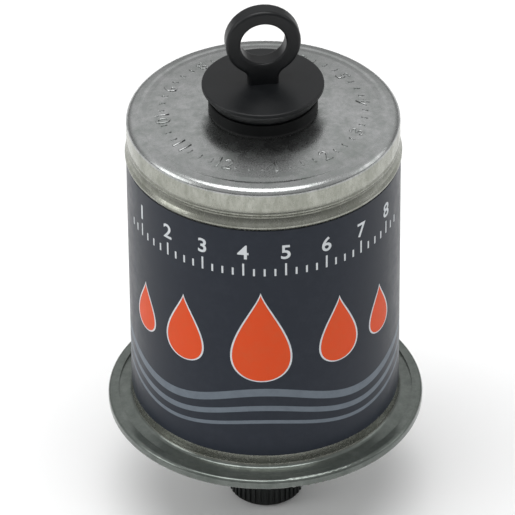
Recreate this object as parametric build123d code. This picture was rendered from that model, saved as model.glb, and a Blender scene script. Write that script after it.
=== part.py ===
from build123d import *
import os
from math import atan, cos, radians, tan

# Automatic grease lubricator driven by gas. Millimetres, +Z up along the can's axis,
# origin on the floor under the centre of the transport cap. Radii are of the outer face
# unless the name says otherwise.

# Clearances
running_gap = 0.07        # radial, between a shaft and the hole it turns or slides in
seat_gap = 0.1            # between faces that close on each other and part again
soft_gap = 0.3            # around the piston, towards the grease and the bag
fit_gap = 0.03            # radial, between fixed pieces that push together

# Transport cap
cap_wall = 2.45           # radial, ribs included
cap_height = 14.0
cap_floor = 2.0
cap_rib_count = 40
cap_rib_depth = 0.35
cap_rib_width = 0.7
cap_plain_rim = 0.9
cap_edge = 0.5
liner_thickness = 1.2
cap_clearance = 0.5       # from the cap's rim up to the lock nut

# Outlet nipple, thread size R 1/4
nipple_radius = 6.58
nipple_taper = 0.32       # radial, over the thread's length
nipple_wall = 3.58        # radial, from the channel to the thread
nipple_flange_reach = 3.22
nipple_flange = 1.5
nipple_gasket_thickness = 1.0
nut_wall = 1.92           # radial, at the flats
nut_height = 3.0
nut_edge = 0.4

# Base dish and its hem
base_sheet = 0.55
dish_flat_margin = 1.7    # from the nipple's flange out to the dish's slope
dish_depth = 10.85
dish_bend = 2.0
flange_reach = 6.0        # from the can's wall out to the hem
hem_width = 2.5
hem_low_bend = 0.6
hem_top_bend = 0.9
seam_gasket_thickness = 1.0
seam_gasket_width = 1.7

# Can
sheet = 0.4
barrel_radius = 32.3
can_height = 83.95        # from the underside of the hem to the top of the lid
lid_flat_margin = 4.4     # from the lock ring out to the lid's slope
lid_slope_bend = 40.0
lid_slope_drop = 0.8
lid_border = 4.0          # from the can's wall in to the step at the end of the slope
lid_step_width = 0.9
lid_step_drop = 0.6
lid_step_bend = 0.7
lid_corner_width = 1.1    # the lid's corner is a narrow cone between two bends
lid_corner_drop = 2.0
lid_corner_bend = 2.6
lid_corner_foot_bend = 0.8
bead_reach = 0.62         # from the wall out to where the bead's two flanks would meet
bead_below_lid = 11.65
bead_half_height = 0.8
bead_round = 0.6
bead_foot_round = 0.45
groove_depth = 0.4        # rolled just above the bead, with a long lower side
groove_rise = 1.75        # from the bead's foot to the bottom of the groove
groove_upper_side = 0.5
groove_lower_side = 1.3
fine_groove_depth = 0.18
fine_groove_rise = 3.1
fine_groove_side = 0.45
groove_round = 0.5
foot_corner = 1.2
foot_rise = 0.55          # the foot slopes down by this to the hem
foot_slope_reach = 3.0    # from the wall out to the end of the slope
foot_slope_bend = 2.0

# Label film
label_thickness = 0.2
label_above_hem = 5.85    # from the underside of the hem
label_below_bead = 0.17   # from the foot of the bead

# Collar through the lid
collar_reach = 2.5        # beyond the spigot
collar_flange = 2.8
collar_gasket_thickness = 0.6
collar_gasket_inset = 0.2
spigot_wall = 2.33        # radial, around the thread
spigot_depth = 14.3       # below the top of the lid
seal_pocket_wall = 1.9    # radial, between the ring's pocket and the thread
seal_pocket_depth = 2.1
lock_ring_reach = 3.2     # beyond the spigot
lock_ring_height = 2.5
lock_ring_notch = 2.6
lock_ring_notch_count = 6
edge_round = 0.35

# Activator screw
head_foot_inset = 0.5     # inside the collar's edge
head_reach = 2.0          # from its foot out to its rim
head_side = 3.9
head_rim = 0.9
head_cone = 0.7
head_edge = 0.4
shank_radius = 8.0
shank_length = 14.5
shank_wall = 2.4          # radial, around the gas cell
shank_bore_depth = 12.0
shank_tip_chamfer = 0.8
eyelet_radius = 8.85
eyelet_hole_radius = 5.4
eyelet_thickness = 4.3
eyelet_round = 0.9
eyelet_hole_round = 0.5
eyelet_neck_width = 7.2
eyelet_neck_bend = 3.0
eyelet_neck_height = 2.8  # from the head's rim to the foot of the eyelet
o_ring_section = 0.9      # radius of the cord

# Gas cell
cell_cup_wall = 0.5
cell_cup_length = 11.0
pellet_height = 3.0
pellet_count = 3

# Piston and its seal
piston_wall = 1.6
piston_height = 8.0
piston_side_gap = 0.3
piston_flat_inset = 4.9   # from the can's bore in to the cone of the floor
piston_floor_radius = 10.0
seal_groove_depth = 1.2
seal_height = 5.0
seal_lip_height = 1.0
seal_waist_depth = 0.4
piston_stop_above_foot = 0.25

# Electrolyte bag
bag_wall = 0.5
bag_neck_height = 7.0
bag_crest_inset = 6.9     # from the can's bore
bag_fold_depth = 5.5
bag_stack = 28.2          # from the spigot's end down to the piston's rim, folded
bag_fold_count = 4
bag_round = 0.8
bag_shoulder_drop = 1.6   # from the spigot's end down to the first fold
electrolyte_depth = 7.0
clamp_ring_thickness = 0.8
clamp_ring_height = 4.0
clamp_ring_drop = 1.5     # from the top of the bag's neck

# Levels, from the floor up
liner_top = cap_floor + liner_thickness
nipple_end = liner_top + seat_gap / 2
nut_face = cap_height + cap_clearance
dish_face = nut_face + nut_height
hem_face = dish_face + dish_depth
flange_top = hem_face + base_sheet + seam_gasket_thickness + sheet
hem_top = flange_top + base_sheet
foot_level = flange_top + foot_rise
lid_level = hem_face + can_height
lid_rim_level = lid_level - lid_slope_drop - lid_step_drop
bead_level = lid_level - bead_below_lid
bead_top = bead_level + bead_half_height
label_bottom = hem_face + label_above_hem
label_top = bead_level - bead_half_height - label_below_bead
collar_top = lid_level + collar_gasket_thickness + collar_flange
head_seat = collar_top + seat_gap
head_rim_level = head_seat + head_side
shank_end = head_seat - shank_length
spigot_end = lid_level - spigot_depth
eyelet_level = head_rim_level + eyelet_neck_height + eyelet_radius
piston_stop = foot_level + foot_corner + piston_stop_above_foot
piston_level = spigot_end - bag_stack
bag_neck_top = spigot_end + bag_neck_height

# Radii and slopes that follow
nipple_end_radius = nipple_radius - nipple_taper
nipple_bore_radius = nipple_radius - nipple_wall
nipple_flange_radius = nipple_radius + nipple_flange_reach
cap_radius = nipple_radius + running_gap + cap_wall
dish_flat_radius = nipple_flange_radius + dish_flat_margin
bore_radius = barrel_radius - sheet
hem_radius = barrel_radius + flange_reach
lid_step_radius = barrel_radius - lid_border
dish_slope = dish_depth / (barrel_radius - dish_flat_radius)
dish_angle = atan(dish_slope)
thread_bore_radius = shank_radius + running_gap
pocket_radius = shank_radius + seal_pocket_wall
shank_bore_radius = shank_radius - shank_wall
spigot_radius = thread_bore_radius + spigot_wall
lid_hole_radius = spigot_radius + seat_gap
collar_radius = spigot_radius + collar_reach
collar_gasket_radius = collar_radius - collar_gasket_inset
lock_ring_radius = spigot_radius + lock_ring_reach
lid_flat_radius = lock_ring_radius + lid_flat_margin
head_foot_radius = collar_radius - head_foot_inset
head_radius = head_foot_radius + head_reach
piston_radius = bore_radius - piston_side_gap
piston_flat_radius = bore_radius - piston_flat_inset
bag_crest_radius = bore_radius - bag_crest_inset
bag_neck_radius = spigot_radius + fit_gap + bag_wall
cell_cup_radius = shank_bore_radius - running_gap
cell_top = shank_end + shank_bore_depth - seat_gap / 2

exported = {}


def turned(points):
    """Solid of revolution from a closed outline of (radius, height) points."""
    return revolve(Plane.XZ * make_face(Polyline(*points, close=True)), Axis.Z)


def pressed(points, bends, thickness, side):
    """Sheet of revolution: its face runs along the points, its metal lies on one side."""
    face_line = FilletPolyline(*points, radius=bends)
    return revolve(Plane.XZ * make_face(offset(face_line, thickness, side=side)), Axis.Z)


def ring(outer, inner, low, high):
    """Plain ring or washer between two levels."""
    return turned([(inner, low), (outer, low), (outer, high), (inner, high)])


def edges_at(solid, level, radius):
    """Circular edges of a turned solid at one level and radius."""
    return [e for e in arcs_of(solid, radius) if abs(e.center().Z - level) < 0.01]


def arcs_of(solid, radius):
    """Circular edges of one radius."""
    return [e for e in solid.edges().filter_by(GeomType.CIRCLE) if abs(e.radius - radius) < 0.01]


def keep(name, solid, colour):
    solid.label = name
    solid.color = Color(colour)
    exported[name] = solid


def groove(level, upper, lower, depth):
    """Three corners of a groove rolled into the can's wall, from the top down."""
    foot = barrel_radius - depth
    return [(barrel_radius, level + upper), (foot, level), (barrel_radius, level - lower)]


def can_shell():
    face = [
        (lid_hole_radius, lid_level),
        (lid_flat_radius, lid_level),
        (lid_step_radius, lid_level - lid_slope_drop),
        (lid_step_radius + lid_step_width, lid_rim_level),
        (barrel_radius - lid_corner_width, lid_rim_level),
        (barrel_radius, lid_rim_level - lid_corner_drop),
    ]
    fine_level = bead_top + fine_groove_rise
    face += groove(fine_level, fine_groove_side, fine_groove_side, fine_groove_depth)
    face += groove(bead_top + groove_rise, groove_upper_side, groove_lower_side, groove_depth)
    face += [
        (barrel_radius, bead_top),
        (barrel_radius + bead_reach, bead_level),
        (barrel_radius, bead_level - bead_half_height),
        (barrel_radius, foot_level),
        (barrel_radius + foot_slope_reach, flange_top),
        (hem_radius - hem_top_bend, flange_top),
    ]
    bends = [lid_slope_bend, lid_step_bend, lid_step_bend]
    bends += [lid_corner_bend, lid_corner_foot_bend]
    bends += [groove_round] * 6
    bends += [bead_foot_round, bead_round, bead_foot_round]
    bends += [foot_corner, foot_slope_bend]
    return pressed(face, bends, sheet, Side.RIGHT)


def base_dish():
    face = [
        (nipple_radius + seat_gap, dish_face),
        (dish_flat_radius, dish_face),
        (barrel_radius, hem_face),
        (hem_radius, hem_face),
        (hem_radius, hem_top),
        (hem_radius - hem_width, hem_top),
    ]
    bends = [dish_bend, dish_bend, hem_low_bend, hem_top_bend]
    return pressed(face, bends, base_sheet, Side.LEFT)


def seam_gasket():
    outer = hem_radius - hem_top_bend
    low = hem_face + base_sheet
    return ring(outer, outer - seam_gasket_width, low, low + seam_gasket_thickness)


def label_sleeve():
    return ring(barrel_radius + label_thickness, barrel_radius, label_bottom, label_top)


def collar_bush():
    foot = lid_level + collar_gasket_thickness
    bush = turned(
        [
            (thread_bore_radius, spigot_end),
            (spigot_radius, spigot_end),
            (spigot_radius, foot),
            (collar_radius, foot),
            (collar_radius, collar_top),
            (pocket_radius, collar_top),
            (pocket_radius, collar_top - seal_pocket_depth),
            (thread_bore_radius, collar_top - seal_pocket_depth),
        ]
    )
    bush = fillet(edges_at(bush, collar_top, collar_radius), edge_round)
    return chamfer(edges_at(bush, spigot_end, spigot_radius), edge_round)


def collar_gasket():
    foot = lid_level + collar_gasket_thickness
    return ring(collar_gasket_radius, spigot_radius + fit_gap, lid_level, foot)


def collar_lock_ring():
    outline = Circle(lock_ring_radius) - Circle(spigot_radius + fit_gap)
    notch = Rectangle(lock_ring_notch, lock_ring_notch)
    outline -= PolarLocations(lock_ring_radius, lock_ring_notch_count) * notch
    return Pos(Z=lid_level - sheet - lock_ring_height) * extrude(outline, lock_ring_height)


def activator_screw():
    tip = shank_end
    head = turned(
        [
            (0, head_rim_level + head_cone),
            (head_radius, head_rim_level),
            (head_radius, head_rim_level - head_rim),
            (head_foot_radius, head_seat),
            (shank_radius, head_seat),
            (shank_radius, tip + shank_tip_chamfer),
            (shank_radius - shank_tip_chamfer, tip),
            (shank_bore_radius, tip),
            (shank_bore_radius, tip + shank_bore_depth),
            (0, tip + shank_bore_depth),
        ]
    )
    head = fillet(edges_at(head, head_rim_level, head_radius), head_edge)
    head = fillet(edges_at(head, head_rim_level - head_rim, head_radius), head_edge)
    lug = Circle(eyelet_radius)
    neck_foot = head_rim_level - head_rim
    neck_rise = eyelet_level - neck_foot
    lug += Pos(0, -neck_rise / 2) * Rectangle(eyelet_neck_width, neck_rise)
    lug = fillet(lug.vertices().filter_by_position(Axis.Y, 1 - neck_rise, 0), eyelet_neck_bend)
    lug -= Circle(eyelet_hole_radius)
    eyelet = extrude(lug, eyelet_thickness / 2, both=True)
    rims = arcs_of(eyelet, eyelet_radius) + arcs_of(eyelet, eyelet_neck_bend)
    eyelet = fillet(rims, eyelet_round)
    eyelet = fillet(arcs_of(eyelet, eyelet_hole_radius), eyelet_hole_round)
    return head + Pos(Z=eyelet_level) * Rot(X=90) * eyelet


def screw_o_ring():
    centre_radius = shank_radius + fit_gap + o_ring_section
    centre_level = head_seat - fit_gap - o_ring_section
    return Pos(Z=centre_level) * Torus(centre_radius, o_ring_section)


def gas_cell_cup():
    low = cell_top - cell_cup_length
    inner = cell_cup_radius - cell_cup_wall
    return turned(
        [
            (0, cell_top),
            (cell_cup_radius, cell_top),
            (cell_cup_radius, low),
            (inner, low),
            (inner, cell_top - cell_cup_wall),
            (0, cell_top - cell_cup_wall),
        ]
    )


def zinc_pellets():
    radius = cell_cup_radius - cell_cup_wall - fit_gap
    top = cell_top - cell_cup_wall
    pellet = Cylinder(radius, pellet_height, align=(Align.CENTER, Align.CENTER, Align.MAX))
    pellet = chamfer(pellet.edges().filter_by(GeomType.CIRCLE), edge_round)
    return Compound(children=[Pos(Z=top - i * pellet_height) * pellet for i in range(pellet_count)])


def piston_floor(rise):
    """The two corners of the piston's conical floor, on a face raised from its underside."""
    inward = rise * tan(dish_angle / 2)
    drop = (piston_flat_radius - piston_floor_radius) * dish_slope
    level = piston_level + rise
    return (piston_flat_radius - inward, level), (piston_floor_radius - inward, level - drop)


def piston():
    under_rim, under_centre = piston_floor(0)
    floor_rim, floor_centre = piston_floor(piston_wall)
    top = piston_level + piston_height
    groove_radius = piston_radius - seal_groove_depth
    groove_low = piston_level + (piston_height - seal_height) / 2
    groove_high = groove_low + seal_height
    skirt_radius = groove_radius - piston_wall
    return turned(
        [
            (0, under_centre[1]),
            under_centre,
            under_rim,
            (piston_radius, piston_level),
            (piston_radius, groove_low),
            (groove_radius, groove_low),
            (groove_radius, groove_high),
            (piston_radius, groove_high),
            (piston_radius, top),
            (skirt_radius, top),
            (skirt_radius, floor_rim[1]),
            floor_rim,
            floor_centre,
            (0, floor_centre[1]),
        ]
    )


def piston_lip_seal():
    """Rubber ring with a lip at each end, open towards the gas and towards the grease."""
    inner = piston_radius - seal_groove_depth + fit_gap
    low = piston_level + (piston_height - seal_height) / 2 + fit_gap
    high = low + seal_height - 2 * fit_gap
    lip = bore_radius - running_gap
    waist = piston_radius - seal_waist_depth
    middle = (low + high) / 2
    return turned(
        [
            (inner, low),
            (piston_radius, low),
            (lip, low + seal_lip_height),
            (waist, middle),
            (lip, high - seal_lip_height),
            (piston_radius, high),
            (inner, high),
        ]
    )


def bag_outline():
    """Outer face of the bag, from its neck down over the folds to the centre of its floor."""
    rim, centre = piston_floor(piston_wall + soft_gap)
    shoulder = spigot_end - bag_shoulder_drop
    low = rim[1] - (rim[0] - bag_crest_radius) * dish_slope
    pitch = (shoulder - low) / (bag_fold_count - 0.5)
    points = [(bag_neck_radius, bag_neck_top), (bag_neck_radius, shoulder)]
    for i in range(bag_fold_count - 1):
        points.append((bag_crest_radius, shoulder - (i + 0.5) * pitch))
        points.append((bag_crest_radius - bag_fold_depth, shoulder - (i + 1) * pitch))
    points.append((bag_crest_radius, low))
    points.append(centre)
    points.append((0, centre[1]))
    return points


def electrolyte_bellows():
    points = bag_outline()
    return pressed(points, bag_round, bag_wall, Side.RIGHT)


def bellows_clamp_ring():
    inner = bag_neck_radius + fit_gap
    high = bag_neck_top - clamp_ring_drop
    return ring(inner + clamp_ring_thickness, inner, high - clamp_ring_height, high)


def electrolyte():
    """Liquid in the floor of the bag, level on top."""
    _, centre = piston_floor(piston_wall + soft_gap + bag_wall + fit_gap)
    level = centre[1] + electrolyte_depth
    shore = centre[0] + electrolyte_depth / dish_slope
    return turned([(0, centre[1]), centre, (shore, level), (0, level)])


def grease_charge():
    rim, centre = piston_floor(-soft_gap)
    wall = bore_radius - fit_gap
    dish_top = hem_face + base_sheet + fit_gap
    dish_centre = dish_face + base_sheet + 2 * fit_gap
    flange_high = dish_face + base_sheet + nipple_gasket_thickness + nipple_flange + fit_gap
    flange_side = nipple_flange_radius + fit_gap
    channel = nipple_bore_radius - fit_gap
    return turned(
        [
            (0, nipple_end),
            (channel, nipple_end),
            (channel, flange_high),
            (flange_side, flange_high),
            (flange_side, dish_centre),
            (dish_flat_radius - base_sheet, dish_centre),
            (wall - base_sheet, dish_top - base_sheet * dish_slope),
            (wall, dish_top),
            (wall, rim[1]),
            rim,
            centre,
            (0, centre[1]),
        ]
    )


def outlet_nipple():
    flange_low = dish_face + base_sheet + nipple_gasket_thickness
    return turned(
        [
            (nipple_bore_radius, nipple_end),
            (nipple_end_radius, nipple_end),
            (nipple_radius, nut_face),
            (nipple_radius, flange_low),
            (nipple_flange_radius, flange_low),
            (nipple_flange_radius, flange_low + nipple_flange),
            (nipple_bore_radius, flange_low + nipple_flange),
        ]
    )


def nipple_gasket():
    low = dish_face + base_sheet
    return ring(nipple_flange_radius, nipple_radius + fit_gap, low, low + nipple_gasket_thickness)


def nipple_lock_nut():
    flat = nipple_radius + nut_wall
    corner = flat / cos(radians(30))
    hole = nipple_radius + fit_gap
    blank = turned(
        [
            (hole, nut_face),
            (flat, nut_face),
            (corner, nut_face + nut_edge),
            (corner, dish_face),
            (hole, dish_face),
        ]
    )
    hexagon = RegularPolygon(flat, 6, major_radius=False)
    return blank & Pos(Z=nut_face) * extrude(hexagon, nut_height)


def transport_cap():
    core = cap_radius - cap_rib_depth
    bore = nipple_radius + running_gap
    cap = turned(
        [
            (0, 0),
            (core, 0),
            (core, cap_height),
            (bore, cap_height),
            (bore, cap_floor),
            (0, cap_floor),
        ]
    )
    cap = chamfer(edges_at(cap, 0, core), cap_edge)
    cap = chamfer(edges_at(cap, cap_height, core), cap_edge / 2)
    rib = Rectangle(2 * cap_rib_depth, cap_rib_width)
    ribs = Sketch() + PolarLocations(core, cap_rib_count) * rib
    ribs = extrude(ribs - Circle(core - cap_rib_depth), cap_height - 2 * cap_plain_rim)
    return cap + Pos(Z=cap_plain_rim) * ribs


def cap_liner():
    radius = nipple_radius - fit_gap
    return turned([(0, cap_floor), (radius, cap_floor), (radius, liner_top), (0, liner_top)])


keep("can_shell", can_shell(), "lightgray")
keep("base_dish", base_dish(), "gray")
keep("seam_gasket", seam_gasket(), "darkgreen")
keep("label_sleeve", label_sleeve(), "darkslateblue")
keep("collar_bush", collar_bush(), "dimgray")
keep("collar_gasket", collar_gasket(), "black")
keep("collar_lock_ring", collar_lock_ring(), "olive")
keep("activator_screw", activator_screw(), "darkorange")
keep("screw_o_ring", screw_o_ring(), "red")
keep("gas_cell_cup", gas_cell_cup(), "gold")
keep("zinc_pellets", zinc_pellets(), "silver")
keep("piston", piston(), "steelblue")
keep("piston_lip_seal", piston_lip_seal(), "navy")
keep("electrolyte_bellows", electrolyte_bellows(), "palegreen")
keep("bellows_clamp_ring", bellows_clamp_ring(), "brown")
keep("electrolyte", electrolyte(), "cyan")
keep("grease_charge", grease_charge(), "khaki")
keep("outlet_nipple", outlet_nipple(), "purple")
keep("nipple_gasket", nipple_gasket(), "green")
keep("nipple_lock_nut", nipple_lock_nut(), "tan")
keep("transport_cap", transport_cap(), "darkred")
keep("cap_liner", cap_liner(), "white")

os.makedirs("parts", exist_ok=True)
for name, solid in exported.items():
    export_step(solid, f"parts/{name}.step")
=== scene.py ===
from math import cos, pi, radians, sin, tan

import bmesh
import bpy
from mathutils import Matrix, Vector


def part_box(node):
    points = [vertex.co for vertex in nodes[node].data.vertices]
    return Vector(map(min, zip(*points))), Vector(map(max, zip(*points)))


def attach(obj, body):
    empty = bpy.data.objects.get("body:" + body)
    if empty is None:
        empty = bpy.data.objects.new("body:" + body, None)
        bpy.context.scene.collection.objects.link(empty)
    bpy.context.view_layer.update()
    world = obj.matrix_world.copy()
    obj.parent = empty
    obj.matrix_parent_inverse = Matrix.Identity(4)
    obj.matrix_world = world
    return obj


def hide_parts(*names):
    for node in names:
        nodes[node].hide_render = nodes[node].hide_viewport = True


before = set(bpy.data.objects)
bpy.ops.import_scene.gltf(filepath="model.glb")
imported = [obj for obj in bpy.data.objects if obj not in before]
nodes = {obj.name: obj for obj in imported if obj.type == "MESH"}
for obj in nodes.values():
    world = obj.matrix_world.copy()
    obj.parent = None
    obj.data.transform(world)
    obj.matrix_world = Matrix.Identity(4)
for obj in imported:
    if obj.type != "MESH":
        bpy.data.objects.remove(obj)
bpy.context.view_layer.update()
scene = bpy.context.scene
mm = 0.001
weld = 1e-6  # metres, points closer than this are joined
fineWeld = 1e-7
print("frame loaded,", len(nodes), "pieces")

# Camera: the photograph's angle, worked out from its ellipses
camera = {
    "azimuth": -7.0,  # degrees, a little to the left of the front
    "elevation": 35.58,
    "distance": 1.2473,
    "aim": (0.0, 0.0, 0.0693),
    "left": 0.00164,  # how far the view is slid to the left of the aim
    "down": 0.00017,
    "roll": 0.529,
    "lens": 363.75,
    "near": 0.05,
    "far": 20,
}


def placeCamera(view):
    turn, rise, roll = (radians(view[key]) for key in ("azimuth", "elevation", "roll"))
    back = Vector((sin(turn) * cos(rise), -cos(turn) * cos(rise), sin(rise)))
    right = Vector((cos(turn), sin(turn), 0))
    up = back.cross(right)
    eye = Vector(view["aim"]) - right * view["left"] - up * view["down"] + back * view["distance"]
    rolledRight = right * cos(roll) - up * sin(roll)
    rolledUp = up * cos(roll) + right * sin(roll)
    lens = bpy.data.cameras.new("camera")
    lens.lens = view["lens"]
    lens.clip_start = view["near"]
    lens.clip_end = view["far"]
    holder = bpy.data.objects.new("camera", lens)
    facing = Matrix((rolledRight, rolledUp, back)).transposed().to_4x4()
    holder.matrix_world = Matrix.Translation(eye) @ facing
    scene.collection.objects.link(holder)
    scene.camera = holder


placeCamera(camera)
scene.view_settings.view_transform = "Standard"


# Node helpers
def newMaterial(name):
    material = bpy.data.materials.new(name)
    material.use_nodes = True
    return material, material.node_tree, material.node_tree.nodes["Principled BSDF"]


def addNode(tree, kind, sockets=None, **settings):
    made = tree.nodes.new(kind)
    for key, value in settings.items():
        setattr(made, key, value)
    for key, value in (sockets or {}).items():
        if isinstance(value, bpy.types.NodeSocket):
            tree.links.new(value, made.inputs[key])
        else:
            made.inputs[key].default_value = value
    return made


def screenColour(red, green, blue):
    def toLinear(level):
        level /= 255
        return level / 12.92 if level <= 0.04045 else ((level + 0.055) / 1.055) ** 2.4

    return (toLinear(red), toLinear(green), toLinear(blue), 1)


def objectPoint(tree, stretch=(1, 1, 1)):
    coords = addNode(tree, "ShaderNodeTexCoord").outputs["Object"]
    return addNode(tree, "ShaderNodeMapping", {"Vector": coords, "Scale": stretch}).outputs[0]


def noiseAt(tree, point, size, detail=3.0, roughness=0.55):
    settings = {"Vector": point, "Scale": 1 / size, "Detail": detail, "Roughness": roughness}
    return addNode(tree, "ShaderNodeTexNoise", settings).outputs["Fac"]


def blendColours(tree, factor, first, second):
    mix = addNode(tree, "ShaderNodeMix", data_type="RGBA")
    tree.links.new(factor, mix.inputs[0])
    for socket, value in ((mix.inputs[6], first), (mix.inputs[7], second)):
        if isinstance(value, bpy.types.NodeSocket):
            tree.links.new(value, socket)
        else:
            socket.default_value = value
    return mix.outputs[2]


def blendValues(tree, factor, first, second):
    return addNode(tree, "ShaderNodeMix", {0: factor, 2: first, 3: second}, data_type="FLOAT").outputs[0]


def ranged(tree, value, fromLow, fromHigh, toLow, toHigh):
    sockets = {0: value, 1: fromLow, 2: fromHigh, 3: toLow, 4: toHigh}
    return addNode(tree, "ShaderNodeMapRange", sockets).outputs[0]


def calculate(tree, operation, *values):
    return addNode(tree, "ShaderNodeMath", dict(enumerate(values)), operation=operation).outputs[0]


def roughen(tree, shader, height, depth, strength=1.0):
    bump = addNode(tree, "ShaderNodeBump", {"Height": height, "Distance": depth, "Strength": strength})
    tree.links.new(bump.outputs[0], shader.inputs["Normal"])


# Materials
lidLook = {
    "pale": (184, 184, 185),
    "dull": (150, 154, 152),
    "stain": (124, 131, 125),
    "metal": 1.0,
    "roughness": (0.2, 0.34),
}
wallLook = {
    "pale": (176, 177, 169),
    "dull": (138, 140, 130),
    "stain": (112, 113, 102),
    "metal": 0.85,
    "roughness": (0.2, 0.34),
}
footLook = {
    "pale": (112, 117, 113),
    "dull": (86, 92, 88),
    "stain": (60, 68, 62),
    "metal": 0.6,  # an oily, dull coat
    "roughness": (0.1, 0.2),
}
# Painted shade: darker colour bands on the wall at the two grooves and under the bead, standing in for
# their shadow and dark reflection
grooveShadeLines = {
    "colour": (84, 85, 78),
    "lines": [(104.6, 0.7, 0.3), (103.1, 1.3, 0.5), (100.3, 0.7, 0.4)],  # level, half width and depth of the painted shade at the two grooves and under the bead
}
sheetLook = {
    "grain": 0.28 * mm,
    "mottle": 2.6 * mm,
    "cloud": 14.0 * mm,
    "streaks": (1, 1, 0.1),  # drawn out along the can
    "wallTop": 109.5 * mm,
    "footTop": 31.6 * mm,
    "zoneEdge": 0.5 * mm,
}


def sheetSteel(name, look, zones, paintedShade=None):
    material, tree, shader = newMaterial(name)
    point = objectPoint(tree)
    grain = noiseAt(tree, objectPoint(tree, look["streaks"]), look["grain"], 3.0, 0.7)
    mottle = noiseAt(tree, objectPoint(tree, (1, 1, 0.5)), look["mottle"], 6.0, 0.75)
    cloud = noiseAt(tree, point, look["cloud"], 4.0, 0.6)
    level = addNode(tree, "ShaderNodeSeparateXYZ", {0: point}).outputs["Z"]
    metal, share = None, zones[0][0]["metal"]
    finish = ranged(tree, mottle, 0.3, 0.72, *zones[0][0]["roughness"])
    for zone, top in zones:
        tone = blendColours(tree, ranged(tree, mottle, 0.35, 0.68, 0, 1),
                            screenColour(*zone["pale"]), screenColour(*zone["dull"]))
        stained = ranged(tree, cloud, 0.48, 0.75, 0, 0.5)
        tone = blendColours(tree, stained, tone, screenColour(*zone["stain"]))
        grained = ranged(tree, grain, 0.35, 0.7, 0, 0.5)
        tone = blendColours(tree, grained, tone, screenColour(*zone["dull"]))
        if metal:
            below = ranged(tree, level, top, top - look["zoneEdge"], 0, 1)
            tone = blendColours(tree, below, metal, tone)
            share = blendValues(tree, below, share, zone["metal"])
            inZone = ranged(tree, mottle, 0.3, 0.72, *zone["roughness"])
            finish = blendValues(tree, below, finish, inZone)
        metal = tone
    # paints the groove and under-bead shade into the base colour, darkest at each level
    for height, reach, depth in paintedShade["lines"] if paintedShade else []:
        away = calculate(tree, "ABSOLUTE", calculate(tree, "SUBTRACT", level, height * mm))
        metal = blendColours(tree, ranged(tree, away, 0.3 * reach * mm, reach * mm, depth, 0), metal,
                             screenColour(*paintedShade["colour"]))
    tree.links.new(metal, shader.inputs["Base Color"])
    if len(zones) > 1:
        tree.links.new(share, shader.inputs["Metallic"])
    else:
        shader.inputs["Metallic"].default_value = share
    tree.links.new(finish, shader.inputs["Roughness"])
    roughen(tree, shader, grain, 0.02 * mm, 0.8)
    return material


filmLook = {
    "colour": (36, 41, 50),
    "scuff": (43, 48, 57),
    "roughness": 0.34,
    "gloss": 0.15,
}


def printedFilm(name, colour, scuff, roughness, gloss=0.15):
    material, tree, shader = newMaterial(name)
    point = objectPoint(tree)
    wear = noiseAt(tree, point, 3 * mm, 5.0, 0.7)
    speck = noiseAt(tree, point, 0.25 * mm, 2.0)
    worn = ranged(tree, wear, 0.45, 0.8, 0, 0.8)
    ink = blendColours(tree, worn, screenColour(*colour), screenColour(*scuff))
    tree.links.new(ink, shader.inputs["Base Color"])
    shader.inputs["Specular IOR Level"].default_value = gloss
    finish = ranged(tree, wear, 0.3, 0.8, roughness - 0.05, roughness + 0.1)
    tree.links.new(finish, shader.inputs["Roughness"])
    roughen(tree, shader, speck, 0.006 * mm, 0.5)
    return material


def mouldedPlastic(name, colour, scuff, roughness, gloss=0.5, texture=0.3 * mm, depth=0.015 * mm):
    material, tree, shader = newMaterial(name)
    point = objectPoint(tree)
    skin = noiseAt(tree, point, texture, 3.0, 0.6)
    wear = noiseAt(tree, point, 6 * mm, 5.0, 0.7)
    worn = ranged(tree, wear, 0.48, 0.8, 0, 0.7)
    tone = blendColours(tree, worn, screenColour(*colour), screenColour(*scuff))
    tree.links.new(tone, shader.inputs["Base Color"])
    shader.inputs["Specular IOR Level"].default_value = gloss
    tree.links.new(ranged(tree, wear, 0.3, 0.8, roughness, roughness + 0.14), shader.inputs["Roughness"])
    roughen(tree, shader, skin, depth, 0.7)
    return material


def softRubber(name, colour, bloom):
    material, tree, shader = newMaterial(name)
    point = objectPoint(tree)
    dust = noiseAt(tree, point, 2 * mm, 5.0, 0.7)
    dusty = ranged(tree, dust, 0.45, 0.8, 0, 0.6)
    tone = blendColours(tree, dusty, screenColour(*colour), screenColour(*bloom))
    tree.links.new(tone, shader.inputs["Base Color"])
    tree.links.new(ranged(tree, dust, 0.3, 0.8, 0.6, 0.8), shader.inputs["Roughness"])
    roughen(tree, shader, noiseAt(tree, point, 0.4 * mm), 0.02 * mm)
    return material


def castZinc(name):
    material, tree, shader = newMaterial(name)
    point = objectPoint(tree)
    pits = noiseAt(tree, point, 0.8 * mm, 4.0, 0.7)
    tone = blendColours(tree, ranged(tree, pits, 0.3, 0.7, 0, 1),
                        screenColour(190, 192, 196), screenColour(140, 143, 148))
    tree.links.new(tone, shader.inputs["Base Color"])
    shader.inputs["Metallic"].default_value = 1.0
    tree.links.new(ranged(tree, pits, 0.3, 0.7, 0.45, 0.7), shader.inputs["Roughness"])
    roughen(tree, shader, pits, 0.05 * mm)
    return material


def waxyFill(name, colour, deep, roughness, clearness=0.0):
    material, tree, shader = newMaterial(name)
    point = objectPoint(tree)
    swirl = noiseAt(tree, point, 9 * mm, 4.0, 0.6)
    swirled = ranged(tree, swirl, 0.3, 0.7, 0, 1)
    tone = blendColours(tree, swirled, screenColour(*colour), screenColour(*deep))
    tree.links.new(tone, shader.inputs["Base Color"])
    shader.inputs["Transmission Weight"].default_value = clearness
    tree.links.new(ranged(tree, swirl, 0.3, 0.7, roughness, roughness + 0.1), shader.inputs["Roughness"])
    roughen(tree, shader, swirl, 0.1 * mm, 0.5)
    return material


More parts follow.
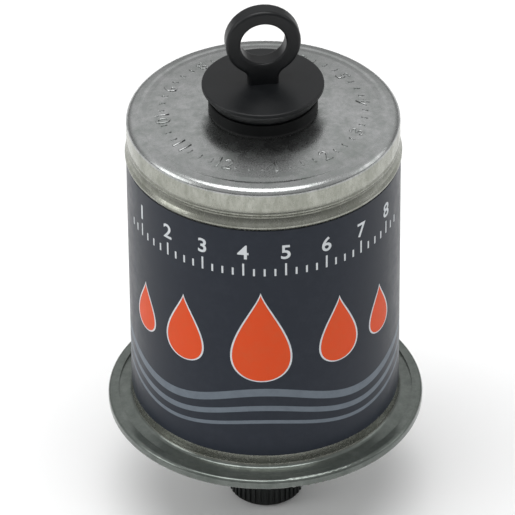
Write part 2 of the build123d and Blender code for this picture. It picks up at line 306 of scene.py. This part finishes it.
canSteel = sheetSteel("canSteel", sheetLook, [
    (lidLook, None), (wallLook, sheetLook["wallTop"]), (footLook, sheetLook["footTop"]),
], grooveShadeLines)
dishSteel = sheetSteel("dishSteel", sheetLook, [(footLook, None)])
springSteel = sheetSteel("springSteel", sheetLook, [(lidLook, None)])
labelFilm = printedFilm("labelFilm", **filmLook)
headPlastic = mouldedPlastic("headPlastic", (11, 13, 15), (20, 21, 23), 0.34, 0.32)
collarPlastic = mouldedPlastic("collarPlastic", (9, 10, 11), (15, 17, 17), 0.45, 0.15)
capPlastic = mouldedPlastic("capPlastic", (18, 22, 21), (30, 34, 33), 0.42, 0.35)
blackRubber = softRubber("blackRubber", (22, 22, 23), (40, 40, 40))
finishes = {
    "can_shell": canSteel,
    "base_dish": dishSteel,
    "seam_gasket": softRubber("seamRubber", (96, 106, 100), (130, 136, 130)),
    "label_sleeve": labelFilm,
    "collar_bush": collarPlastic,
    "collar_gasket": blackRubber,
    "collar_lock_ring": springSteel,
    "activator_screw": headPlastic,
    "screw_o_ring": blackRubber,
    "gas_cell_cup": mouldedPlastic("cupPlastic", (222, 220, 212), (205, 203, 196), 0.5),
    "zinc_pellets": castZinc("pelletZinc"),
    "piston": mouldedPlastic("pistonPlastic", (226, 223, 212), (208, 205, 195), 0.45),
    "piston_lip_seal": blackRubber,
    "electrolyte_bellows": softRubber("bagRubber", (190, 160, 120), (205, 182, 150)),
    "bellows_clamp_ring": springSteel,
    "electrolyte": waxyFill("electrolyteLiquid", (214, 228, 232), (190, 212, 220), 0.05, 0.8),
    "grease_charge": waxyFill("grease", (196, 150, 78), (168, 118, 52), 0.3),
    "outlet_nipple": mouldedPlastic("nipplePlastic", (40, 41, 44), (56, 57, 60), 0.4),
    "nipple_gasket": blackRubber,
    "nipple_lock_nut": mouldedPlastic("nutPlastic", (34, 36, 38), (50, 52, 54), 0.42),
    "transport_cap": capPlastic,
    "cap_liner": mouldedPlastic("linerFoam", (230, 230, 226), (214, 214, 210), 0.7),
}


def dress(name, material):
    for place in nodes[name].material_slots:
        place.material = material


for name, material in finishes.items():
    dress(name, material)
print("finishes on", len(finishes), "pieces")


def keepPiece(bm, name, body, material):
    mesh = bpy.data.meshes.new(name)
    bm.to_mesh(mesh)
    bm.free()
    mesh.materials.append(material)
    piece = bpy.data.objects.new(name, mesh)
    scene.collection.objects.link(piece)
    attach(piece, body)
    return piece


# The can: its face from the lid's hole out and down to the flange, as radius, level and bend in mm
canWall = {
    "face": [
        (10.5, 112.3, 0), (18.0, 112.3, 40), (27.4, 111.3, 2.0),
        (28.75, 111.03, 0.7), (29.4, 111.09, 1.0), (31.45, 110.68, 1.8), (32.3, 109.65, 0.9),
        (32.3, 105.3, 0.4), (32.12, 104.7, 0.4), (32.3, 104.2, 0.4),
        (32.3, 103.9, 0.5), (31.7, 103.1, 0.6), (32.3, 101.7, 0.4),
        (32.92, 100.65, 0.6), (32.3, 99.85, 0.4),
        (32.3, 30.85, 1.2), (35.3, 30.3, 2.0), (37.4, 30.3, 0),
    ],
    "sheet": 0.4,
    "bendSteps": 8,
    "turnSteps": 180,
    "sharp": 35,  # degrees, bends over this keep a crisp edge
}


def bendCorner(bm, corner, radius, steps):
    first, second = ((edge.other_vert(corner).co - corner.co).normalized() for edge in corner.link_edges)
    reach = radius * mm / tan(first.angle(second) / 2)
    bmesh.ops.bevel(bm, geom=[corner], offset=reach, offset_type="OFFSET", affect="VERTICES",
                    segments=steps, profile=0.5, material=-1)


def putInOrder(bm):  # spin and solidify leave edges and faces in an order that changes between runs
    bm.verts.index_update()
    count = len(bm.verts)

    def place(part):
        numbers = [v.index for v in part.verts]
        return min(numbers) * count + max(numbers)

    bm.edges.sort(key=place)
    bm.faces.sort(key=place)


def turnFace(wall):
    bm = bmesh.new()
    corners = [bm.verts.new((radius * mm, 0, level * mm)) for radius, level, bend in wall["face"]]
    for first, second in zip(corners, corners[1:]):
        bm.edges.new((first, second))
    for corner, (radius, level, bend) in zip(corners, wall["face"]):
        if bend:
            bendCorner(bm, corner, bend, wall["bendSteps"])
    bmesh.ops.spin(bm, geom=bm.verts[:] + bm.edges[:], axis=(0, 0, 1), angle=2 * pi,
                   steps=wall["turnSteps"], use_merge=True)
    putInOrder(bm)
    bmesh.ops.remove_doubles(bm, verts=bm.verts, dist=fineWeld)
    bmesh.ops.recalc_face_normals(bm, faces=bm.faces)
    return bm


def pressCan(wall):
    bm = turnFace(wall)
    top = max(bm.faces, key=lambda face: face.calc_center_median().z)
    if top.normal.z < 0:
        bmesh.ops.reverse_faces(bm, faces=bm.faces)
    bmesh.ops.solidify(bm, geom=bm.faces[:], thickness=wall["sheet"] * mm)
    putInOrder(bm)
    for face in bm.faces:
        face.smooth = True
    can = keepPiece(bm, "canWall", "can", canSteel)
    can.data.set_sharp_from_angle(angle=radians(wall["sharp"]))
    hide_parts("can_shell")


# Flat shapes, drawn in millimetres and made into thin solids
def meshOf(maker):
    holder = bpy.data.objects.new("draft", maker)
    scene.collection.objects.link(holder)
    bpy.context.view_layer.update()
    bm = bmesh.new()
    drawn = holder.evaluated_get(bpy.context.evaluated_depsgraph_get())
    bm.from_mesh(bpy.data.meshes.new_from_object(drawn))
    bpy.data.objects.remove(holder)
    bmesh.ops.remove_doubles(bm, verts=bm.verts, dist=weld)
    return bm


def flatShape(loops, thickness):
    outline = bpy.data.curves.new("outline", "CURVE")
    outline.dimensions = "2D"
    outline.fill_mode = "BOTH"
    outline.extrude = thickness * mm / 2
    for loop in loops:
        line = outline.splines.new("POLY")
        line.points.add(len(loop) - 1)
        for point, (x, y) in zip(line.points, loop):
            point.co = (x * mm, y * mm, 0, 1)
        line.use_cyclic_u = True
    return meshOf(outline)


def flatNumber(text, height, thickness, bold=0.0, rounding=0.0):
    words = bpy.data.curves.new("number", "FONT")
    words.body = text
    words.size = height * mm / 0.7
    words.align_x = "CENTER"
    words.align_y = "CENTER"
    words.extrude = thickness * mm / 2
    words.offset = bold * mm
    words.bevel_depth = rounding * mm
    words.bevel_resolution = 2 if rounding else 0
    words.resolution_u = 4
    return meshOf(words)


def joinInto(total, part):
    mesh = bpy.data.meshes.new("part")
    part.to_mesh(mesh)
    part.free()
    total.from_mesh(mesh)
    bpy.data.meshes.remove(mesh)


def shifted(bm, x, y, turn=0.0):
    place = Matrix.Translation((x * mm, y * mm, 0)) @ Matrix.Rotation(turn, 4, "Z")
    bmesh.ops.transform(bm, matrix=place, verts=bm.verts)
    return bm


def wrapRound(bm, radius, facing, level):
    step = 1.2 * mm
    across = [v.co.x for v in bm.verts]
    at = min(across) + step
    while at < max(across):
        everything = bm.verts[:] + bm.edges[:] + bm.faces[:]
        bmesh.ops.bisect_plane(bm, geom=everything, dist=fineWeld,
                               plane_co=(at, 0, 0), plane_no=(1, 0, 0))
        at += step
    for v in bm.verts:  # x runs round the wall, y up it and z out of it
        turn = facing + v.co.x / radius
        reach = radius + v.co.z
        v.co = (reach * sin(turn), -reach * cos(turn), level + v.co.y)


pressCan(canWall)
print("can pressed")

threads = [
    {"name": "outletThread", "body": "can", "slot": "nipple_plastic", "low": 3.9, "lowRadius": 6.28,
     "highRadius": 6.56, "pitch": 1.337, "turns": 7.4, "ridge": 0.06, "sunk": 0.03,
     "width": 0.9},
    {"name": "screwThread", "body": "activator", "slot": "activator_plastic", "low": 102.6,
     "lowRadius": 8.0, "highRadius": 8.0, "pitch": 3.0, "turns": 3.2, "ridge": 0.06, "sunk": 0.03,
     "width": 1.8},
]


def windThread(thread, material, stepsPerTurn=64):
    bm = bmesh.new()
    low, foot = thread["low"], thread["lowRadius"]
    inner, middle = foot - thread["sunk"], low + thread["width"] / 2
    ring = [(inner, low), (inner, low + thread["width"]), (foot + thread["ridge"], middle)]
    bm.faces.new([bm.verts.new((radius * mm, 0, level * mm)) for radius, level in ring])
    rise = thread["pitch"] * thread["turns"]
    steps = round(thread["turns"] * stepsPerTurn)
    end = bmesh.ops.duplicate(bm, geom=bm.verts[:] + bm.edges[:] + bm.faces[:])
    lastFace = [item for item in end["geom"] if isinstance(item, bmesh.types.BMFace)][0]
    bmesh.ops.rotate(bm, verts=lastFace.verts, matrix=Matrix.Rotation(thread["turns"] * 2 * pi, 3, "Z"))
    bmesh.ops.translate(bm, verts=lastFace.verts, vec=(0, 0, rise * mm))
    start = [face for face in bm.faces if face != lastFace][0]
    bmesh.ops.spin(bm, geom=start.edges[:], axis=(0, 0, 1), angle=thread["turns"] * 2 * pi,
                   dvec=(0, 0, rise * mm / steps), steps=steps)
    bmesh.ops.remove_doubles(bm, verts=bm.verts, dist=weld)
    for v in bm.verts:  # the outlet's thread widens upwards
        part = (v.co.z / mm - low) / rise
        v.co.xy *= 1 + (thread["highRadius"] / foot - 1) * part
    bmesh.ops.recalc_face_normals(bm, faces=bm.faces)
    keepPiece(bm, thread["name"], thread["body"], material)


windThread(threads[0], finishes["outlet_nipple"])
windThread(threads[1], finishes["activator_screw"])
print("threads wound")

labelLow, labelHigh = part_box("label_sleeve")
labelRadius = labelHigh.x
labelMiddle = (labelLow.z + labelHigh.z) / 2
labelPrint = {
    "facing": -7.0,  # degrees, the side that looks at the camera
    "ink": 0.05,
    "orange": ((212, 74, 28), (204, 82, 40)),
    "white": ((206, 210, 213), (184, 189, 194)),
    "grey": ((104, 113, 122), (92, 100, 109)),
    "drops": [(-34, 0, 13), (-20.5, 1, 18), (-1, 2, 25), (18.5, 1, 18), (32, 0, 13)],  # x, level, height
    "dropOutline": 0.5,
    "waves": [(-16.5, 2.6, 2.2), (-20.8, 2.2, 1.5), (-24.4, 1.8, 1.0)],  # level, swing, line
    "wavesRound": 4,
    "tickPitch": 2.5,
    "tickCount": 33,
    "scaleLevel": 21.0,
    "tick": (0.45, 2.0, 3.4),  # width, height and height of those with a number
    "number": (3.8, 5.4),  # height, and how far above the ticks
    "table": {"columns": 4, "rows": 3, "cell": (9.0, 7.0), "level": 6.0, "line": 0.35, "number": 2.8,
              "box": (2.0, 1.5)},  # outer and inner width
}


def dropLoop(height, grow=0.0):
    width = height * 0.62 + 2 * grow
    tall = height / 2 + grow
    return [
        (width * 0.65 * sin(t) * sin(t / 2) ** 1.6, tall * cos(t) + grow * 0.4)
        for t in [2 * pi * i / 64 for i in range(64)]
    ]


def barLoop(width, height):
    right, top = width / 2, height / 2
    return [(-right, -top), (right, -top), (right, top), (-right, top)]


def waveLoop(length, swing, line, count, steps=160):
    def edge(i, side):
        return length * (i / steps - 0.5), swing * cos(2 * pi * count * i / steps) + side * line / 2

    return [edge(i, -1) for i in range(steps + 1)] + [edge(i, 1) for i in range(steps, -1, -1)]


def drawScale(white, art):
    middle = (art["tickCount"] - 1) / 2
    width, short, tall = art["tick"]
    numberHeight, numberRise = art["number"]
    for i in range(art["tickCount"]):
        x = (i - middle) * art["tickPitch"]
        major = i % 4 == 2
        tick = flatShape([barLoop(width, tall if major else short)], art["ink"])
        joinInto(white, shifted(tick, x, art["scaleLevel"] + ((tall - short) / 2 if major else 0)))
        if major:
            number = flatNumber(str(i // 4 + 1), numberHeight, art["ink"], 0.08)
            joinInto(white, shifted(number, x, art["scaleLevel"] + numberRise))


def drawTable(white, art):
    table = art["table"]
    wide, tall = table["cell"]
    width, height = wide * table["columns"], tall * table["rows"]
    for i in range(table["columns"] + 1):
        bar = flatShape([barLoop(table["line"], height + table["line"])], art["ink"])
        joinInto(white, shifted(bar, i * wide - width / 2, table["level"]))
    for i in range(table["rows"] + 1):
        bar = flatShape([barLoop(width, table["line"])], art["ink"])
        joinInto(white, shifted(bar, 0, table["level"] + i * tall - height / 2))
    for i in range(table["columns"] * table["rows"]):
        x = (i % table["columns"] + 0.5) * wide - width / 2
        y = table["level"] + height / 2 - (i // table["columns"] + 0.5) * tall
        number = flatNumber(str(i + 1), table["number"], art["ink"], 0.04)
        joinInto(white, shifted(number, x - wide * 0.2, y))
        outer, inner = table["box"]
        box = [barLoop(outer, outer), barLoop(inner, inner)[::-1]]
        joinInto(white, shifted(flatShape(box, art["ink"]), x + wide * 0.25, y))


def printLabel(art):
    ink = art["ink"]
    orange, white, grey, back = bmesh.new(), bmesh.new(), bmesh.new(), bmesh.new()
    for x, y, height in art["drops"]:
        joinInto(orange, shifted(flatShape([dropLoop(height)], 2 * ink), x, y))
        rim = [dropLoop(height, art["dropOutline"]), dropLoop(height)[::-1]]
        joinInto(white, shifted(flatShape(rim, ink), x, y))
    length = 2 * pi * labelRadius / mm
    for level, swing, line in art["waves"]:
        loop = waveLoop(length, swing, line, art["wavesRound"])
        joinInto(grey, shifted(flatShape([loop], ink * 0.6), 0, level))
    drawScale(white, art)
    drawTable(back, art)
    for bm in (orange, white, grey):
        wrapRound(bm, labelRadius, radians(art["facing"]), labelMiddle)
    wrapRound(back, labelRadius, pi, labelMiddle)
    joinInto(white, back)
    for name, bm in (("Orange", orange), ("White", white), ("Grey", grey)):
        colour, scuff = art[name.lower()]
        film = printedFilm(f"{name.lower()}Ink", colour, scuff, 0.4)
        keepPiece(bm, f"label{name}Print", "can", film)


printLabel(labelPrint)
print("label printed")

lidStamp = {
    "top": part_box("can_shell")[1].z,
    "flatRadius": 18.0,  # beyond it the lid falls away gently
    "slopeRadius": 27.4,
    "slopeDrop": 1.0,
    "radius": 24.0,
    "height": 3.4,
    "relief": 0.16,
    "rounding": 0.16,
    "numbers": 12,
    "thinner": -0.1,  # takes the rounding back off the strokes
    "tick": (0.5, 1.5),
}


def stampLid(stamp):
    marks = bmesh.new()
    for i in range(stamp["numbers"]):
        turn = 2 * pi * i / stamp["numbers"]
        number = flatNumber(str(i + 1), stamp["height"], stamp["relief"],
                            stamp["thinner"], stamp["rounding"])
        shifted(number, 0, -stamp["radius"])
        bmesh.ops.rotate(number, verts=number.verts, matrix=Matrix.Rotation(turn, 3, "Z"))
        joinInto(marks, number)
        for part in (0.25, 0.5, 0.75):
            tick = flatShape([barLoop(*stamp["tick"])], 2 * stamp["relief"])
            shifted(tick, 0, -stamp["radius"])
            between = turn + part * 2 * pi / stamp["numbers"]
            bmesh.ops.rotate(tick, verts=tick.verts, matrix=Matrix.Rotation(between, 3, "Z"))
            joinInto(marks, tick)
    for v in marks.verts:  # settled on the lid's slope
        out = (v.co.xy.length / mm - stamp["flatRadius"]) / (stamp["slopeRadius"] - stamp["flatRadius"])
        v.co.z += stamp["top"] - out * stamp["slopeDrop"] * mm
    keepPiece(marks, "lidStamping", "can", canSteel)


stampLid(lidStamp)
print("lid stamped")

# Studio: pale floor, soft lamps
studio = {
    "floor": (246, 246, 246),
    "floorReach": 4.0,
    "horizon": 0.25,  # strength of the walls low down and higher up
    "walls": 0.95,
    "ceiling": 0.55,  # how much of that is left overhead and on the camera's side
    "cameraSide": 0.6,
    "wallRise": (0.1, 0.6),  # where the strength changes, as parts of the direction's Z and Y
    "ceilingRise": (0.6, 0.9),
    "cameraTurn": (-0.55, -0.1),
    "lampAim": (0, 0, 0.08),
    "lamps": [
        {"name": "softbox", "from": (-0.08, -0.2, 1.17), "size": (1.15, 0.7), "watts": 9.5},
        {"name": "leftFill", "from": (-2.2, -0.2, 1.0), "size": (1.2, 1.2), "watts": 12.0},
        {"name": "rightFill", "from": (2.2, 0.0, 1.0), "size": (1.2, 1.2), "watts": 4.5},
    ],
}


def buildStudio(settings):
    bm = bmesh.new()
    bmesh.ops.create_grid(bm, x_segments=1, y_segments=1, size=settings["floorReach"])
    mesh = bpy.data.meshes.new("floor")
    bm.to_mesh(mesh)
    bm.free()
    floor = bpy.data.objects.new("floor", mesh)
    scene.collection.objects.link(floor)
    material, tree, shader = newMaterial("paleFloor")
    tree.nodes.remove(shader)
    pale = screenColour(*settings["floor"])
    paint = addNode(tree, "ShaderNodeBsdfDiffuse", {"Color": pale}).outputs[0]
    clear = addNode(tree, "ShaderNodeBsdfTransparent").outputs[0]
    under = addNode(tree, "ShaderNodeNewGeometry").outputs["Backfacing"]  # open when seen from below
    surface = addNode(tree, "ShaderNodeMixShader", {0: under, 1: paint, 2: clear}).outputs[0]
    tree.links.new(surface, tree.nodes["Material Output"].inputs["Surface"])
    mesh.materials.append(material)
    world = bpy.data.worlds.new("studio")
    world.use_nodes = True
    scene.world = world
    tree = world.node_tree
    towards = addNode(tree, "ShaderNodeTexCoord").outputs["Generated"]
    part = addNode(tree, "ShaderNodeSeparateXYZ", {0: towards}).outputs
    room = ranged(tree, part["Z"], *settings["wallRise"], settings["horizon"], settings["walls"])
    above = ranged(tree, part["Z"], *settings["ceilingRise"], 1.0, settings["ceiling"])
    front = ranged(tree, part["Y"], *settings["cameraTurn"], settings["cameraSide"], 1.0)
    strength = calculate(tree, "MULTIPLY", calculate(tree, "MULTIPLY", room, front), above)
    tree.nodes["Background"].inputs["Color"].default_value = (1, 1, 1, 1)
    tree.links.new(strength, tree.nodes["Background"].inputs["Strength"])
    for lamp in settings["lamps"]:
        light = bpy.data.lights.new(lamp["name"], "AREA")
        light.shape = "ELLIPSE"
        light.size, light.size_y = lamp["size"]
        light.energy = lamp["watts"]
        holder = bpy.data.objects.new(lamp["name"], light)
        holder.location = lamp["from"]
        away = Vector(lamp["from"]) - Vector(settings["lampAim"])
        holder.rotation_euler = away.to_track_quat("Z", "Y").to_euler()
        scene.collection.objects.link(holder)


buildStudio(studio)
print("studio lit")
